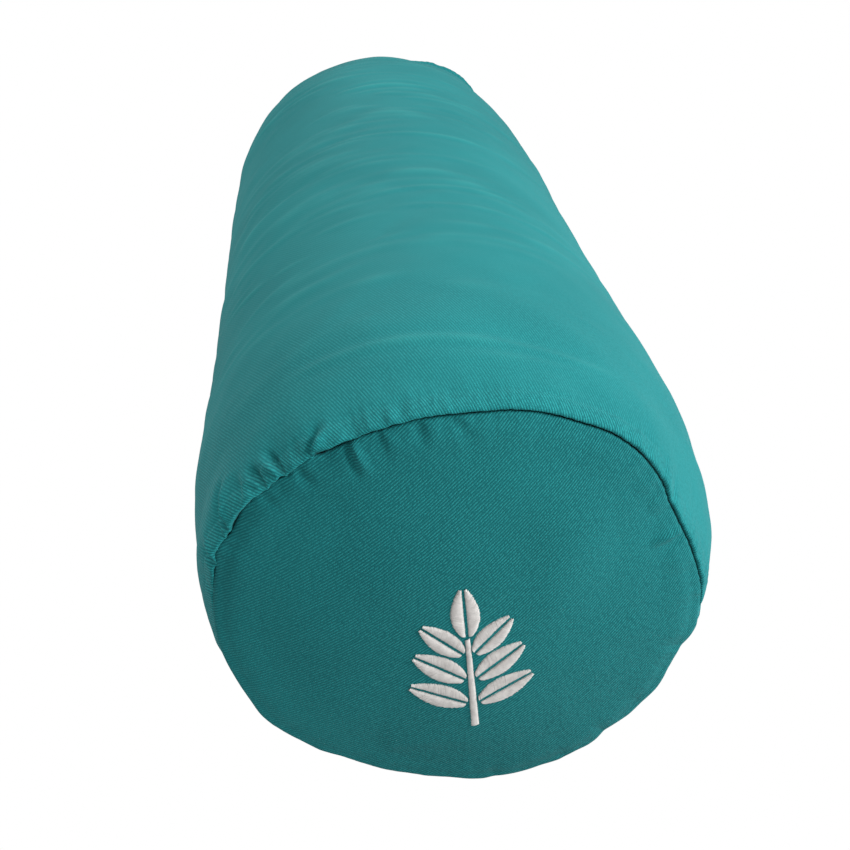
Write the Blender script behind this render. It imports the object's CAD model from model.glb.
import math
import bpy
import numpy as np
from mathutils import Matrix


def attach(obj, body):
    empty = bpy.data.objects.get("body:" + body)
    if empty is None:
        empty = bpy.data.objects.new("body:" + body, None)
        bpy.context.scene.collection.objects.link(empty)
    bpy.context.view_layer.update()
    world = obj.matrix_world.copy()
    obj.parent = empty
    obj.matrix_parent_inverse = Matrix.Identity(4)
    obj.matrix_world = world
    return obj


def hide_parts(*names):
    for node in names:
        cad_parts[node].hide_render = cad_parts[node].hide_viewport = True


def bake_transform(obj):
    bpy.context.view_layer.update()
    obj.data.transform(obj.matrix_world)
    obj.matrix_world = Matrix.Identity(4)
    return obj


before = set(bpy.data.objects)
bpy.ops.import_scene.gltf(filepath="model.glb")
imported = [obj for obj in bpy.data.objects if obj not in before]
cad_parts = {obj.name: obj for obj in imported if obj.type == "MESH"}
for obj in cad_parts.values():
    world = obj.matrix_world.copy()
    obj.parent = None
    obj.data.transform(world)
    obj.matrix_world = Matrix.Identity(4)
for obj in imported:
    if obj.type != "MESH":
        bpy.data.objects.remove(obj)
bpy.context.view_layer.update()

# ------------------------------------------------------------------ sizes shared with the frame (mm)
K, H, R = 0.932, 97.4, 110.0
SEAM_Y, SEAM_R, DOME = 311.0, 93.2, 14.0
ZPHI = math.radians(-42.0)
SLOT0, SLOT1, SLOT_T = -220.0, 182.0, 6.3
EMB_X, EMB_Z, EMB_ROT = -1.0, -16.0, math.radians(5.0)
D2R = math.pi / 180.0
TAU = 2 * math.pi


# ------------------------------------------------------------------ small numpy helpers
def sstep(x, a, b):
    t = np.clip((np.asarray(x, float) - a) / (b - a), 0.0, 1.0)
    return t * t * (3 - 2 * t)


def gauss(x, s):
    return np.exp(-(np.asarray(x, float) / s) ** 2)


def wrap(deg):
    return (np.asarray(deg, float) + 180.0) % 360.0 - 180.0


def smooth_table(table, sigma, step=0.25):
    """Periodic table of degree -> value as a dense smoothed array."""
    a = np.array(sorted(table))
    d = np.arange(-180.0, 180.0, step)
    v = np.interp(d, np.r_[a[-1, 0] - 360, a[:, 0], a[0, 0] + 360], np.r_[a[-1, 1], a[:, 1], a[0, 1]])
    k = np.arange(-int(4 * sigma / step), int(4 * sigma / step) + 1) * step
    g = np.exp(-0.5 * (k / sigma) ** 2)
    g /= g.sum()
    n = len(k) // 2
    w = np.convolve(np.r_[v[-n:], v, v[:n]], g, "valid")
    return lambda deg: np.interp(wrap(deg), np.r_[d, 180.0], np.r_[w, w[0]])


def smooth_profile(pts, sigma=3.0):
    a = np.array(pts, float)
    y = np.arange(a[0, 0], a[-1, 0] + 0.01, 0.5)
    v = np.interp(y, a[:, 0], a[:, 1])
    n = int(6 * sigma)
    k = np.arange(-n, n + 1) * 0.5
    g = np.exp(-0.5 * (k / sigma) ** 2)
    g /= g.sum()
    lo, hi = 2 * v[0] - v[n:0:-1], 2 * v[-1] - v[-2:-n - 2:-1]
    w = np.convolve(np.r_[lo, v, hi], g, "valid")
    return lambda q: np.interp(q, y, w)


class Waves:
    """Smooth seeded noise on (angle in degrees, length in mm), closed round the angle."""

    def __init__(self, seed, count, n_lo, n_hi, lam_lo, lam_hi):
        r = np.random.RandomState(seed)
        self.n = r.randint(n_lo, n_hi + 1, count) * r.choice([-1, 1], count)
        self.k = TAU / r.uniform(lam_lo, lam_hi, count) * r.choice([-1, 1], count)
        self.p = r.uniform(0, TAU, count)
        self.a = r.uniform(0.5, 1.0, count)
        self.a /= np.sqrt((self.a ** 2).sum() / 2)

    def __call__(self, deg, y):
        out = 0.0
        for n, k, p, a in zip(self.n, self.k, self.p, self.a):
            out = out + a * np.cos(n * np.asarray(deg) * D2R + k * np.asarray(y) + p)
        return out


# ------------------------------------------------------------------ how the cloth sits, as functions
BODY_R = smooth_profile([(-311, 93.2), (-303.5, 98.0), (-295.5, 102.1), (-285, 105.2), (-274, 107.0), (-258, 109.4), (-242, 110.6), (-215, 111.0), (-186, 110.9), (-140, 109.9), (-93, 109.4),
                         (0, 109.5), (93, 109.6), (187, 109.3), (222, 108.3), (249, 106.1), (270, 103.6), (286, 100.8), (300, 97.0), (311, 93.2)])
CAD_R = smooth_profile([(-311, 93.2), (-303.5, 98.0), (-295.5, 102.1), (-274, 107.0), (-252, 109.3), (-235, 110.0), (195, 110.0), (222, 108.7), (249, 106.2), (286, 100.8), (311, 93.2)])
FRONT_SEAM = [(-177, 98.6), (177, 98.6), (171, 99.0), (167, 99.6), (163, 100.3), (160, 100.7), (158, 100.3), (154.3, 99.2), (150.8, 99.6), (148.4, 99.4), (144.3, 98.0), (140.1, 96.3), (136.2, 95.9),
              (134.6, 94.4), (131.5, 94.3), (128, 94.9), (126.5, 93.7), (123.5, 92.9), (120.2, 92.4), (115.9, 91.9), (111.2, 91.0), (104.7, 90.9), (99, 90.9), (93.7, 90.5), (86.2, 91.2), (81.3, 92.3),
              (74.4, 93.4), (69.1, 93.6), (64.2, 93.8), (56.2, 95.2), (51.6, 95.1), (46.6, 94.7), (40.9, 93.4), (36.4, 92.2), (31.5, 89.9), (23.8, 89.2), (17.7, 90.0), (11.9, 90.5), (8.4, 90.9),
              (-2, 92.0), (-7, 93.0), (-10, 93.4), (-13.5, 92.4), (-17.0, 90.7), (-21, 90.5), (-25.3, 90.6), (-32.4, 91.9), (-39.2, 91.6), (-45.6, 91.7), (-50.5, 92.7), (-54.5, 94.2), (-58.5, 94.0), (-63.5, 93.0), (-68.3, 93.7), (-75, 93.6),
              (-82.5, 92.9), (-86, 93.2), (-93, 92.1), (-98, 91.6), (-113.4, 90.9), (-118.8, 91.3), (-124.5, 91.9), (-130.3, 94.0), (-136.5, 94.7), (-143, 96.3), (-149.8, 97.0), (-156.8, 97.0), (-164.1, 97.5), (-171.4, 98.3)]
SEAM_TRIM = smooth_table([(-180, 0.0), (-172, -0.15), (-166, -0.24), (-160, -0.27), (-154, -0.15), (-148, 0.68), (-142, 0.13), (-136, -0.14), (-130, -0.18), (-124, -0.14), (-118, 0.09), (-112, 0.54), (-106, -0.14), (-100, 0.09), (-94, -0.0), (-88, 0.96), (-82, 0.64), (-76, 0.57), (-70, -0.28), (-64, 1.12), (-62, -0.04), (-60, -0.75), (-58, -0.55), (-56, -0.76), (-54, -1.51), (-52, -1.59), (-50, -1.7), (-48, -1.24), (-46, -0.3), (-44, 0.13), (-42, 0.25), (-40, -0.0), (-35, -0.12), (-30, 0.46), (-25, 0.07), (-20, -0.11), (-15, 0.11), (-10, 0.42), (-5, 0.05), (-3, 0.9), (1, 1.3), (6, 0.9), (12, 0.3), (18, 0.0), (170, 0.0)], 1.2)
REAR_TRIM = smooth_table([(-180, -0.8), (-160, -0.3), (-120, 0.0), (-40, 0.0), (0, 0.0), (12, 0.3), (20, 0.54), (26, 0.9), (32, 2.07), (38, 2.69), (44, 4.83), (50, 6.17), (56, 5.01), (62, 4.02), (68, 1.01), (74, -0.87), (80, -2.96), (86, -3.95), (92, -4.12), (98, -4.16), (104, -2.29), (110, -2.88), (116, -4.38), (122, -4.11), (128, -4.2), (134, -3.93), (140, -3.39), (146, -3.03), (152, -2.54), (158, -2.17), (164, -1.36), (170, -1.61), (176, -1.58)], 2.5)
RS_HI = smooth_table(FRONT_SEAM, 0.7)
RS_LO = smooth_table(FRONT_SEAM, 5.0)
_rear = Waves(77, 9, 2, 9, 50, 90)
LIP = smooth_table([(-180, 0.15), (-150, 0.15), (-10, 0.05), (5, 0.08), (30, 0.14), (50, 0.2), (70, 0.28), (84, 0.32), (92, 0.4), (99, 0.62), (106, 0.8), (113, 0.72), (117.5, 0.5), (120, 0.85),
                    (124.5, 1.0), (127.2, 0.2), (129, 0.4), (132.5, 0.85), (135.2, 0.25), (137.5, 0.75), (140.3, 0.3), (143, 0.75), (148, 1.0), (152.5, 0.7), (155.5, 0.15), (159, 0.5), (163, 0.3), (170, 0.12)], 0.9)
# how deep the joint between the two panels reads: 1 an open groove, 0 meeting softly, -1 pressed together
GROOVE = smooth_table([(-180, 0.1), (-12, 0.0), (-4, 0.05), (4, 0.12), (9, 0.35), (14, 0.55), (30, 0.6), (62, 0.6), (75, 0.6), (92, 0.6), (99, 0.4), (103, 0.1), (112, 0.0), (117.5, 0.3), (119.5, 1.0), (123, 0.8), (126.0, 0.4), (127.6, -0.6),
                       (129, -1.0), (133.8, -1.0), (135.0, 0.2), (135.8, 0.5), (137, -0.5), (139, -0.9), (141, -0.4), (143.5, -0.8), (147.5, -0.6), (149.5, 0.1), (151, 0.6), (153, 0.4), (155.5, 0.7), (157.2, -0.6),
                       (160, -1.0), (163, -0.7), (165, 0.2), (168, 0.0), (172, -0.3)], 0.6)
# where the end panel's rim stands proud of the body instead of the body's roll: the underside
TUCK = smooth_table([(180, 0.85), (176, 0.7), (171, 0.45), (167, 0.15), (163, 0.0), (5, 0.0), (1, 0.25), (-4, 0.6), (-9, 0.95), (-12, 1.0), (-172, 1.0), (-177, 0.95)], 1.3)
W_LOW = Waves(3, 14, 1, 4, 150, 400)
W_LUMP = Waves(5, 26, 3, 10, 45, 110)
W_FINE = Waves(8, 30, 9, 26, 22, 50)
W_PUCK = Waves(11, 26, 22, 64, 60, 200)
W_PUCK2 = Waves(13, 26, 40, 110, 60, 200)
W_DISC = Waves(17, 18, 2, 7, 60, 140)


def stitch_bite(deg):
    """The seam thread nips the cloth at each stitch."""
    deg = np.asarray(deg, float)
    return 0.13 * np.sin(deg * D2R * 148 + 1.3 * np.sin(deg * D2R * 9)) * (0.6 + 0.4 * np.sin(deg * D2R * 23))


def seam_r(deg, end):
    if end < 0:
        return RS_HI(deg) + SEAM_TRIM(deg) + stitch_bite(deg) * (1 - TUCK(deg))
    return SEAM_R + 0.4 * _rear(deg, 0.0) + REAR_TRIM(deg) + stitch_bite(deg)


def seam_r_lo(deg, end):
    if end < 0:
        return RS_LO(deg)
    return SEAM_R + 0.4 * _rear(deg, 0.0) + REAR_TRIM(deg)


def tuck(deg, end):
    if end < 0:
        return TUCK(deg)
    return 0.0 * np.asarray(deg, float)


def groove(deg, end):
    if end < 0:
        return GROOVE(deg)
    return 0.65 + 0.35 * np.sin(5 * np.asarray(deg, float) * D2R + 0.4)


def lip(deg, end):
    if end < 0:
        return LIP(deg) * (1 - TUCK(deg))
    return 0.45 + 0.35 * np.sin(3 * np.asarray(deg) * D2R + 1.1)


def line_dip(a, d, crease, scale):
    """Crease from (a0, d0) to (a1, d1): a in degrees, d in mm from the seam. Valley with a soft ridge beside it."""
    a0, d0, a1, d1, depth, sig, ridge = crease
    px, py = wrap(a - a0) * scale, d - d0
    vx, vy = wrap(a1 - a0) * scale, d1 - d0
    ll = math.hypot(vx, vy)
    ux, uy = vx / ll, vy / ll
    along = (px * ux + py * uy) / ll
    side = px * uy - py * ux
    width = sig * (0.75 + 0.9 * np.clip(along, 0, 1.3))
    taper = sstep(along, -0.35, 0.02) * (1 - sstep(along, 0.25, 1.25))
    side = side * (1 if ridge > 0 else -1)
    return taper * (-depth * gauss(side, width) + abs(ridge) * depth * gauss(side - 2.3 * width, 1.6 * width))


# (angle at seam, distance, angle at tip, distance, depth, half width, ridge share)
BODY_CREASES = [
    (127.3, 1.0, 123.6, 11.0, 2.4, 1.1, -0.75), (135.5, 2.0, 136.7, 13.0, 3.4, 1.05, 0.5), (140.6, 2.0, 141.6, 12.0, 2.4, 1.0, 0.5), (153.9, 4.0, 151.6, 22.0, 5.2, 1.6, -0.5), (156.4, 0.0, 155.6, 9.0, 1.2, 1.0, -0.5), (146.0, 4.0, 145.6, 14.0, 1.1, 1.6, 0.5), (163.5, 0.0, 164.5, 12.0, 1.1, 1.5, -0.6),
    (106.0, 0.0, 104.0, 12.0, 0.3, 2.0, 0.6), (116.0, 0.0, 113.5, 16.0, 0.35, 2.4, 0.6), (147.0, 1.0, 146.4, 15.0, 0.6, 1.7, -0.7), (131.5, 1.0, 130.4, 9.0, 0.5, 1.5, -0.7), (171.5, 0.0, 171.0, 16.0, 0.5, 2.2, 0.5),
    (30.5, 0.0, 31.5, 7.0, 0.35, 1.6, 0.5), (12.0, 0.0, 12.5, 10.0, 0.25, 2.4, 0.4), (-6.0, 0.0, -5.5, 18.0, 0.9, 4.0, 0.4), (-17.0, 0.0, -16.0, 17.0, 1.3, 3.4, 0.4), (-37.5, 0.0, -36.5, 20.0, 1.2, 4.2, 0.4),
    (-51.0, 0.0, -50.0, 20.0, 1.5, 3.6, 0.4), (-64.0, 0.0, -63.5, 18.0, 1.4, 3.6, 0.4), (-83.0, 0.0, -82.0, 15.0, 1.0, 3.4, 0.4),
    (-103.0, 0.0, -102.0, 15.0, 0.7, 3.4, 0.4), (-121.0, 0.0, -120.0, 16.0, 0.8, 3.8, 0.4), (-140.0, 0.0, -139.0, 16.0, 0.9, 3.8, 0.4), (-152.0, 0.0, -153.0, 12.0, 0.6, 2.6, 0.4), (-166.0, 0.0, -165.0, 13.0, 0.6, 3.0, 0.4),
]
REAR_CREASES = [(a, 0.0, a + b, L, dp, sg, 0.5) for a, b, L, dp, sg in
                [(95, 2, 14, 0.5, 1.8), (84, -2, 10, 0.35, 1.8), (61, 1, 16, 0.7, 2.6), (38, 2, 12, 0.5, 2.2), (12, -1, 17, 1.4, 3.0), (-14, 1, 13, 0.9, 2.2), (-33, 2, 16, 1.3, 2.8), (-71, 0, 12, 0.8, 2.2), (-104, 2, 13, 0.8, 2.4),
                 (-131, 1, 17, 1.4, 2.8), (-149, -2, 12, 0.9, 2.0), (-172, 1, 15, 1.1, 2.4), (166, 2, 11, 0.8, 1.7), (149, -1, 16, 1.4, 2.4), (127, 2, 12, 0.9, 1.9), (112, 1, 14, 0.9, 2.0)]]
DISC_CREASES = [
    (119.5, 0.0, 121.9, 13.5, 2.2, 1.15, -0.7), (111.7, 0.0, 112.8, 11.0, 0.75, 1.7, -0.6), (102.6, 0.0, 102.4, 11.0, 0.85, 2.0, -0.6), (94.8, 0.0, 89.0, 13.0, 0.8, 2.2, -0.6), (132.0, 0.0, 133.5, 10.0, 0.7, 1.8, 0.5),
    (142.0, 0.0, 143.5, 10.0, 0.5, 2.0, 0.4), (158.0, 0.0, 157.0, 12.0, 0.5, 2.2, 0.4), (80.0, 0.0, 77.5, 10.0, 0.2, 3.0, 0.4), (20.2, 1.0, 18.6, 14.0, 1.9, 1.5, 0.9), (9.0, 0.0, 8.0, 13.0, 0.35, 2.4, 0.7),
    (-17.0, 0.0, -16.0, 11.0, 0.5, 2.6, 0.4), (-38.0, 0.0, -38.0, 12.0, 0.35, 3.0, 0.4), (-51.0, 0.0, -51.0, 11.0, 0.6, 2.6, 0.4), (-64.0, 0.0, -64.0, 11.0, 0.55, 2.6, 0.4), (-83.0, 0.0, -82.5, 11.0, 0.45, 2.6, 0.4),
    (-103.0, 0.0, -102.0, 10.0, 0.3, 2.8, 0.4), (-121.0, 0.0, -120.0, 10.0, 0.3, 2.8, 0.4), (-143.0, 0.0, -141.0, 11.0, 0.35, 2.6, 0.4), (-164.0, 0.0, -163.0, 10.0, 0.3, 2.6, 0.4),
]
REAR_DISC_CREASES = [(a, 0.0, a + b, L, dp, sg, 0.5) for a, b, L, dp, sg in
                     [(88, 2, 13, 0.8, 2.2), (66, -2, 11, 0.6, 1.8), (43, 2, 14, 0.8, 2.2), (20, 1, 9, 0.5, 2.0), (-24, 1, 10, 0.5, 2.0), (-48, 2, 13, 0.8, 2.4), (-83, 1, 12, 0.6, 2.4), (-117, 2, 13, 0.8, 2.2), (-152, -1, 11, 0.6, 2.0), (158, 1, 10, 0.6, 1.8), (134, 2, 14, 0.9, 2.0), (110, -1, 11, 0.6, 2.0)]]

# Soft ridges round the body: (y at the top, drift per degree left of the top, first angle, last angle, height, half width)
RIPPLES = [(-276.0, 0.32, 52, 132, 0.80, 2.8), (-284.0, 0.25, 56, 96, 0.4, 3.0), (-247.0, -0.1, 96, 150, 0.3, 4.5), (-230.0, 0.15, 60, 100, 0.25, 5.0), (-214.0, 0.12, 92, 152, 0.38, 4.0), (-196.0, 0.35, 112, 160, 0.5, 3.6),
           (-160.0, 1.1, 108, 160, 0.75, 2.4), (-86.0, -0.5, 52, 112, 0.6, 2.6), (24.0, 0.2, 58, 124, 0.65, 2.8), (154.0, 0.2, 66, 112, 0.55, 3.0)]
_r = np.random.RandomState(29)
_y = -185.0
while _y < 275:
    c = _r.choice([78, 96, 118, 132, 60])
    w = _r.uniform(22, 44)
    RIPPLES.append((_y, _r.uniform(-0.22, 0.38), c - w, c + w, _r.uniform(0.22, 0.58), _r.uniform(2.9, 5.2)))
    _y += _r.uniform(7, 13)
_y = -262.0
while _y < 262:
    c = _r.choice([8, -172, 30, -150, 175])
    w = _r.uniform(18, 34)
    RIPPLES.append((_y, _r.uniform(-0.3, 0.3), c - w, c + w, _r.uniform(0.18, 0.4), _r.uniform(3.0, 5.5)))
    _y += _r.uniform(18, 34)

SIM = {}


def zip_mask(s, y):
    """1 beside the zip, 0 away from it. s is arc length from the zip line."""
    t = np.minimum(np.abs(s), CIRC - np.abs(s))
    return (1 - sstep(t, 14, 34)) * sstep(y, -252, -228) * (1 - sstep(y, 192, 222))


def belly_mask(deg):
    return 1 - 0.85 * (1 - sstep(np.abs(wrap(deg + 90)), 22, 40))


def ripple_at(y0, drift, a0, a1, deg, y):
    ad = wrap(deg - 90)
    yc = y0 + drift * ad * 0.45 + 1.4 * np.sin(ad * 0.06 + y0) + 0.0022 * ad * ad * np.sign(drift)
    return y - yc, sstep(wrap(deg - a0), 0, 14) * (1 - sstep(wrap(deg - a1), -14, 0))


def crest(deg, y):
    """Where the cloth stands in a sharp ridge and its nap is worn paler."""
    out = 0.0
    for y0, drift, a0, a1, h, sig in RIPPLES:
        d, win = ripple_at(y0, drift, a0, a1, deg, y)
        out = out + win * h * gauss(d - 0.4, 1.05 * sig)
    return np.clip(out * (0.55 + 0.40 * W_LUMP(deg, y) + 0.25 * W_FINE(deg, y)), 0, 1)


def body_disp(deg, s, y):
    """Displacement of the body cloth away from its plain profile, in mm."""
    out = 0.35 * W_LOW(deg, y) + 0.24 * W_LUMP(deg, y) + 0.07 * W_FINE(deg, y)
    for y0, drift, a0, a1, h, sig in RIPPLES:
        d, win = ripple_at(y0, drift, a0, a1, deg, y)
        out = out + win * 0.85 * h * (gauss(d, sig) - 0.55 * gauss(d - 2.0 * sig, 1.5 * sig) - 0.25 * gauss(d + 1.9 * sig, 1.3 * sig))
    if "body" in SIM:
        out = out + sample_grid(SIM["body"], deg, y)
    out = out + 1.2 * gauss(wrap(deg + 9), 9) * gauss(y + 268, 42)
    out = out - 1.3 * gauss(wrap(deg - 173), 17) * gauss(y + 262, 26) - 1.0 * gauss(wrap(deg - 22), 14) * gauss(y + 258, 26)
    keep = sstep(y, -311, -296) * (1 - sstep(y, 296, 311))
    out = out * keep
    for end, creases in ((-1, BODY_CREASES), (1, REAR_CREASES)):
        d = SEAM_Y + end * -y
        near = d < 46
        if not np.any(near):
            continue
        dn, an = d[near], deg[near]
        p = 0.30 * W_PUCK(an, dn * 1.2) * gauss(dn, 15) + 0.16 * W_PUCK2(an, dn) * gauss(dn, 7)
        quiet = 0.75
        if end < 0:
            quiet = (1 - 0.75 * sstep(an, 40, 60) * (1 - sstep(an, 100, 112))) * (1 - 0.7 * TUCK(an)) * (1 - 0.5 * sstep(an, -10, 10) * (1 - sstep(an, 40, 60)))
        else:
            quiet = 0.75 - 0.5 * sstep(an, 30, 50) * (1 - sstep(an, 140, 155))
        p = p * quiet
        for c in creases:
            p = p + line_dip(an, dn, c, 1.66)
        out[near] += p
    out = np.where(y > -240, np.maximum(out, -0.75), out)
    out = out * (1 - zip_mask(s, y)) * belly_mask(deg)
    return out


def dome_y(rn):
    return DOME * np.maximum(0.0, 1 - rn * rn) ** 0.8


def disc_disp(deg, r, rs, end):
    d = rs - r
    out = 0.30 * W_DISC(deg * (1 if end < 0 else -1), r) * sstep(r, 4, 30) * gauss(d - 30, 60)
    if ("front" if end < 0 else "rear") in SIM:
        out = out + sample_disc(SIM["front" if end < 0 else "rear"], deg, r / rs) * sstep(d, 0, 6)
    out = out * sstep(d, 0, 10)
    near = d < 34
    if np.any(near):
        dn, an = d[near], deg[near]
        p = 0.17 * W_PUCK(an + 3, dn) * gauss(dn, 10) + 0.08 * W_PUCK2(an + 9, dn) * gauss(dn, 5)
        if end < 0:
            p = p * (1 - 0.6 * TUCK(an))
        for c in (DISC_CREASES if end < 0 else REAR_DISC_CREASES):
            p = p + line_dip(an, dn, c, 1.6)
        out[near] += p
    if end > 0:   # the handle's tabs are sewn down flat
        x, z = r * np.cos(deg * D2R), r * K * np.sin(deg * D2R)
        out = out * (1 - (1 - sstep(np.abs(z), 14, 24)) * sstep(np.abs(x), 34, 42) * (1 - sstep(np.abs(x), 78, 86)))
    else:         # the fleece behind the embroidery keeps it flat
        x, z = r * np.cos(deg * D2R) - EMB_X, r * K * np.sin(deg * D2R) - EMB_Z
        out = np.maximum(out, -0.7)
        out = out * (1 - 0.75 * (1 - sstep(np.hypot(x / 34, z / 44), 0.8, 1.2)))
    return out


def disc_y(x, z, end):
    """Outer surface of an end panel at (x, z above the axis), z already squashed."""
    x, z = np.asarray(x, float), np.asarray(z, float)
    r = np.hypot(x, z / K)
    deg = np.degrees(np.arctan2(z / K, x))
    rs = seam_r(deg, end) if end < 0 else seam_r(deg, end)
    rs_b = 0.35 * rs + 0.65 * seam_r_lo(deg, end)
    p = dome_y(np.minimum(r / rs_b, 1)) + disc_disp(deg, r, rs_b, end)
    if end < 0:   # never below the fleece sewn behind the embroidery
        c, s = math.cos(EMB_ROT), math.sin(EMB_ROT)
        u, v = (x - EMB_X) * c + (z - EMB_Z) * s, (z - EMB_Z) * c - (x - EMB_X) * s
        m = (1 - sstep(np.abs(u), 33, 40)) * (1 - sstep(np.abs(v), 42, 50))
        p = p * (1 - m) + np.maximum(p, dome_y(np.minimum(r / SEAM_R, 1)) - 0.22) * m
    return end * (SEAM_Y + p)


# ------------------------------------------------------------------ arc length round the oval
_phi = np.linspace(0, TAU, 7201)
_ds = R * np.sqrt(np.sin(_phi + ZPHI) ** 2 + (K * np.cos(_phi + ZPHI)) ** 2)
_cum = np.r_[0, np.cumsum((_ds[1:] + _ds[:-1]) / 2 * np.diff(_phi))]
CIRC = _cum[-1]


def deg_of(s):
    """Angle in degrees at arc length s from the zip line, growing upwards round the right side."""
    return wrap(np.degrees(np.interp(s, _cum, _phi)) + math.degrees(ZPHI) + 360 * np.floor(np.asarray(s) / CIRC))


def settle(z):
    """Soft contact with the floor."""
    return 0.5 * (z + np.sqrt(z * z + 4.0))


def sample_grid(g, deg, y):
    a = (wrap(deg) + 180) / 360 * g["n"]
    b = np.clip((y - g["y0"]) / g["dy"], 0, g["v"].shape[0] - 1.001)
    i0 = np.floor(a).astype(int)
    j0 = np.floor(b).astype(int)
    fa, fb = a - i0, b - j0
    fa, fb = fa * fa * (3 - 2 * fa) * 0.5 + fa * 0.5, fb * fb * (3 - 2 * fb) * 0.5 + fb * 0.5
    v, n = g["v"], g["n"]
    return ((1 - fb) * ((1 - fa) * v[j0, i0 % n] + fa * v[j0, (i0 + 1) % n]) + fb * ((1 - fa) * v[j0 + 1, i0 % n] + fa * v[j0 + 1, (i0 + 1) % n]))


def sample_disc(g, deg, rn):
    a = (wrap(deg) + 180) / 360 * g["n"]
    b = np.clip(rn * (g["v"].shape[0] - 1), 0, g["v"].shape[0] - 1.001)
    i0 = np.floor(a).astype(int)
    j0 = np.floor(b).astype(int)
    fa, fb = a - i0, b - j0
    v, n = g["v"], g["n"]
    return ((1 - fb) * ((1 - fa) * v[j0, i0 % n] + fa * v[j0, (i0 + 1) % n]) + fb * ((1 - fa) * v[j0 + 1, i0 % n] + fa * v[j0 + 1, (i0 + 1) % n]))


# ------------------------------------------------------------------ mesh building
def new_object(name, verts_mm, quads, tris=None, smooth=True):
    me = bpy.data.meshes.new(name)
    v = np.ascontiguousarray(np.asarray(verts_mm, np.float64) * 0.001, dtype=np.float32)
    quads = np.zeros((0, 4), int) if quads is None else np.asarray(quads, int)
    tris = np.zeros((0, 3), int) if tris is None else np.asarray(tris, int)
    me.vertices.add(len(v))
    me.vertices.foreach_set("co", v.ravel())
    loops = np.concatenate([quads.ravel(), tris.ravel()]).astype(np.int32)
    me.loops.add(len(loops))
    me.loops.foreach_set("vertex_index", loops)
    n = len(quads) + len(tris)
    starts = np.concatenate([np.arange(len(quads)) * 4, len(quads) * 4 + np.arange(len(tris)) * 3]).astype(np.int32)
    me.polygons.add(n)
    me.polygons.foreach_set("loop_start", starts)
    me.polygons.foreach_set("loop_total", np.concatenate([np.full(len(quads), 4), np.full(len(tris), 3)]).astype(np.int32))
    me.polygons.foreach_set("use_smooth", np.full(n, bool(smooth)))
    me.update(calc_edges=True)
    me.validate()
    o = bpy.data.objects.new(name, me)
    bpy.context.scene.collection.objects.link(o)
    return o


def grid_quads(rows, cols, closed=False, flip=False, base=0):
    c = cols if closed else cols - 1
    i, j = np.meshgrid(np.arange(rows - 1), np.arange(c), indexing="ij")
    i, j = i.ravel(), j.ravel()
    j1 = (j + 1) % cols
    q = np.stack([i * cols + j, i * cols + j1, (i + 1) * cols + j1, (i + 1) * cols + j], 1) + base
    return q[:, ::-1] if flip else q


def set_uv(o, uv_m):
    """Per-vertex UVs in metres of cloth."""
    me = o.data
    layer = me.uv_layers.new(name="cloth")
    idx = np.zeros(len(me.loops), np.int32)
    me.loops.foreach_get("vertex_index", idx)
    layer.data.foreach_set("uv", np.asarray(uv_m, np.float32)[idx].ravel())


def tube(path, radius, sides=6, flat=1.0, up=None, closed_ends=True):
    """Vertices and faces of a tube along a path (n,3) in mm. flat squashes it along up."""
    p = np.asarray(path, float)
    n = len(p)
    t = np.gradient(p, axis=0)
    t /= np.maximum(np.linalg.norm(t, axis=1, keepdims=True), 1e-9)
    if up is None:
        up = np.tile([0.0, 0.0, 1.0], (n, 1))
    up = np.broadcast_to(np.asarray(up, float), (n, 3))
    side = np.cross(t, up)
    side /= np.maximum(np.linalg.norm(side, axis=1, keepdims=True), 1e-9)
    nrm = np.cross(side, t)
    a = np.arange(sides) / sides * TAU
    r = np.broadcast_to(np.asarray(radius, float), (n,))
    v = p[:, None, :] + r[:, None, None] * (np.cos(a)[None, :, None] * side[:, None, :] + flat * np.sin(a)[None, :, None] * nrm[:, None, :])
    v = v.reshape(-1, 3)
    q = grid_quads(n, sides, closed=True, flip=True)
    tr = []
    if closed_ends:
        v = np.vstack([v, p[0], p[-1]])
        c0, c1 = n * sides, n * sides + 1
        for k in range(sides):
            tr.append((c0, (k + 1) % sides, k)[::-1])
            tr.append((c1, (n - 1) * sides + k, (n - 1) * sides + (k + 1) % sides)[::-1])
    return v, q, np.array(tr, int).reshape(-1, 3)


class Batch:
    """Collects many small shells into one mesh."""

    def __init__(self):
        self.v, self.q, self.t, self.n = [], [], [], 0

    def add(self, v, q, t):
        self.v.append(v)
        self.q.append(np.asarray(q, int).reshape(-1, 4) + self.n)
        self.t.append(np.asarray(t, int).reshape(-1, 3) + self.n)
        self.n += len(v)

    def build(self, name):
        return new_object(name, np.vstack(self.v), np.vstack(self.q), np.vstack(self.t))


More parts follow.
